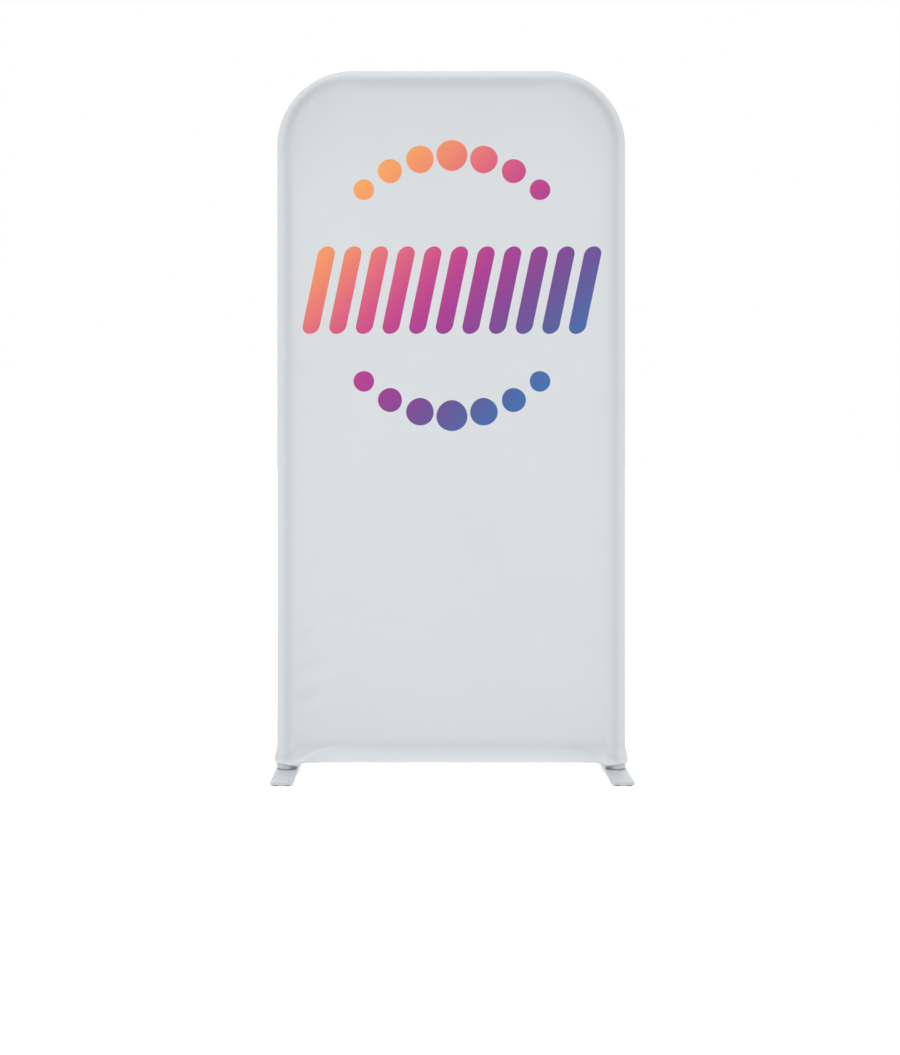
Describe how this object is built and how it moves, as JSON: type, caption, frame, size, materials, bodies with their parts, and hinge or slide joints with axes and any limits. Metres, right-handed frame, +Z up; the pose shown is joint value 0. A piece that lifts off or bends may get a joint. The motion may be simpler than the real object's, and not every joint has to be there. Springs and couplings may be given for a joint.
{
  "type": "tabletop banner display",
  "caption": "Stretch-fabric cover zipped over a knock-down tube frame with rounded top corners, on two flat swivelling feet.",
  "frame": {"origin": "on the table, midway between the two feet and on the banner's mid-plane", "axes": "+X to the right seen from the printed front, +Y to the rear, +Z up"},
  "size_m": [0.6194, 0.232, 1.2297],
  "materials": {
    "tube": "satin anodised",
    "fitting": "machined, satin",
    "sleeve": "mill finish",
    "rivet": "bright",
    "button": "zinc plated",
    "clip": "spring steel",
    "washer": "nylon",
    "screw": "zinc plated",
    "foot_plate": "silver-grey powder coat, satin",
    "pad": "matt",
    "front_fabric": "printed stretch polyester",
    "rear_fabric": "plain stretch polyester",
    "tape": "woven tape",
    "teeth": "moulded",
    "stop": "pressed",
    "slider": "enamelled zinc"
  },
  "bodies": {
    "frame": {"bottom_rail": "tube", "corner_fitting_left": "fitting", "corner_fitting_right": "fitting", "lower_upright_left": "tube", "lower_upright_right": "tube", "upper_upright_left": "tube", "upper_upright_right": "tube", "top_bend_left": "tube", "top_bend_right": "tube", "mid_sleeve_left": "sleeve", "mid_sleeve_right": "sleeve", "shoulder_sleeve_left": "sleeve", "shoulder_sleeve_right": "sleeve", "top_sleeve": "sleeve", "sleeve_rivets": "rivet", "rail_clip_left": "clip", "rail_clip_right": "clip", "foot_clip_left": "clip", "foot_clip_right": "clip", "mid_clip_left": "clip", "mid_clip_right": "clip", "shoulder_clip_left": "clip", "shoulder_clip_right": "clip", "top_clip": "clip", "foot_washer_left": "washer", "foot_screw_left": "screw", "foot_washer_right": "washer", "foot_screw_right": "screw", "cover_front": "front_fabric", "cover_back": "rear_fabric", "zip_tape_upper": "tape", "zip_tape_lower": "tape", "zip_teeth_upper": "teeth", "zip_teeth_lower": "teeth", "zip_stops": "stop"},
    "rail_button_left": {"rail_button_left": "button"},
    "rail_button_right": {"rail_button_right": "button"},
    "foot_button_left": {"foot_button_left": "button"},
    "foot_button_right": {"foot_button_right": "button"},
    "mid_button_left": {"mid_button_left": "button"},
    "mid_button_right": {"mid_button_right": "button"},
    "shoulder_button_left": {"shoulder_button_left": "button"},
    "shoulder_button_right": {"shoulder_button_right": "button"},
    "top_button": {"top_button": "button"},
    "foot_left": {"foot_plate_left": "foot_plate", "foot_pads_left": "pad"},
    "foot_right": {"foot_plate_right": "foot_plate", "foot_pads_right": "pad"},
    "zip_slider": {"zip_slider": "slider"},
    "zip_pull": {"zip_pull": "slider"}
  },
  "joints": [
    {"name": "rail_button_left_press", "type": "slide", "parent": "frame", "child": "rail_button_left", "axis": [0, 0, -1], "range_m": [0, 0.0043], "stiffness_N_per_m": 2500, "springref_m": -0.001, "deforming": ["rail_clip_left"]},
    {"name": "foot_button_left_press", "type": "slide", "parent": "frame", "child": "foot_button_left", "axis": [-1, 0, 0], "range_m": [0, 0.0043], "stiffness_N_per_m": 2500, "springref_m": -0.001, "deforming": ["foot_clip_left"]},
    {"name": "mid_button_left_press", "type": "slide", "parent": "frame", "child": "mid_button_left", "axis": [-1, 0, 0], "range_m": [0, 0.0043], "stiffness_N_per_m": 2500, "springref_m": -0.001, "deforming": ["mid_clip_left"]},
    {"name": "shoulder_button_left_press", "type": "slide", "parent": "frame", "child": "shoulder_button_left", "axis": [-1, 0, 0], "range_m": [0, 0.0043], "stiffness_N_per_m": 2500, "springref_m": -0.001, "deforming": ["shoulder_clip_left"]},
    {"name": "rail_button_right_press", "type": "slide", "parent": "frame", "child": "rail_button_right", "axis": [0, 0, -1], "range_m": [0, 0.0043], "stiffness_N_per_m": 2500, "springref_m": -0.001, "deforming": ["rail_clip_right"]},
    {"name": "foot_button_right_press", "type": "slide", "parent": "frame", "child": "foot_button_right", "axis": [1, 0, 0], "range_m": [0, 0.0043], "stiffness_N_per_m": 2500, "springref_m": -0.001, "deforming": ["foot_clip_right"]},
    {"name": "mid_button_right_press", "type": "slide", "parent": "frame", "child": "mid_button_right", "axis": [1, 0, 0], "range_m": [0, 0.0043], "stiffness_N_per_m": 2500, "springref_m": -0.001, "deforming": ["mid_clip_right"]},
    {"name": "shoulder_button_right_press", "type": "slide", "parent": "frame", "child": "shoulder_button_right", "axis": [1, 0, 0], "range_m": [0, 0.0043], "stiffness_N_per_m": 2500, "springref_m": -0.001, "deforming": ["shoulder_clip_right"]},
    {"name": "top_button_press", "type": "slide", "parent": "frame", "child": "top_button", "axis": [0, 0, 1], "range_m": [0, 0.0043], "stiffness_N_per_m": 2500, "springref_m": -0.001, "deforming": ["top_clip"]},
    {"name": "foot_swivel_left", "type": "hinge", "parent": "frame", "child": "foot_left", "pos_m": [-0.2879, 0, 0.007], "axis": [0, 0, 1], "range_deg": [-90, 90]},
    {"name": "foot_swivel_right", "type": "hinge", "parent": "frame", "child": "foot_right", "pos_m": [0.2879, 0, 0.007], "axis": [0, 0, 1], "range_deg": [-90, 90]},
    {"name": "zip_travel", "type": "slide", "parent": "frame", "child": "zip_slider", "axis": [-1, 0, 0], "range_m": [0, 0.512], "deforming": ["zip_teeth_upper", "zip_teeth_lower"]},
    {"name": "pull_flip", "type": "hinge", "parent": "zip_slider", "child": "zip_pull", "pos_m": [0.255, 0.0199, 0.078], "axis": [0, 0, 1], "range_deg": [0, 170]}
  ]
}
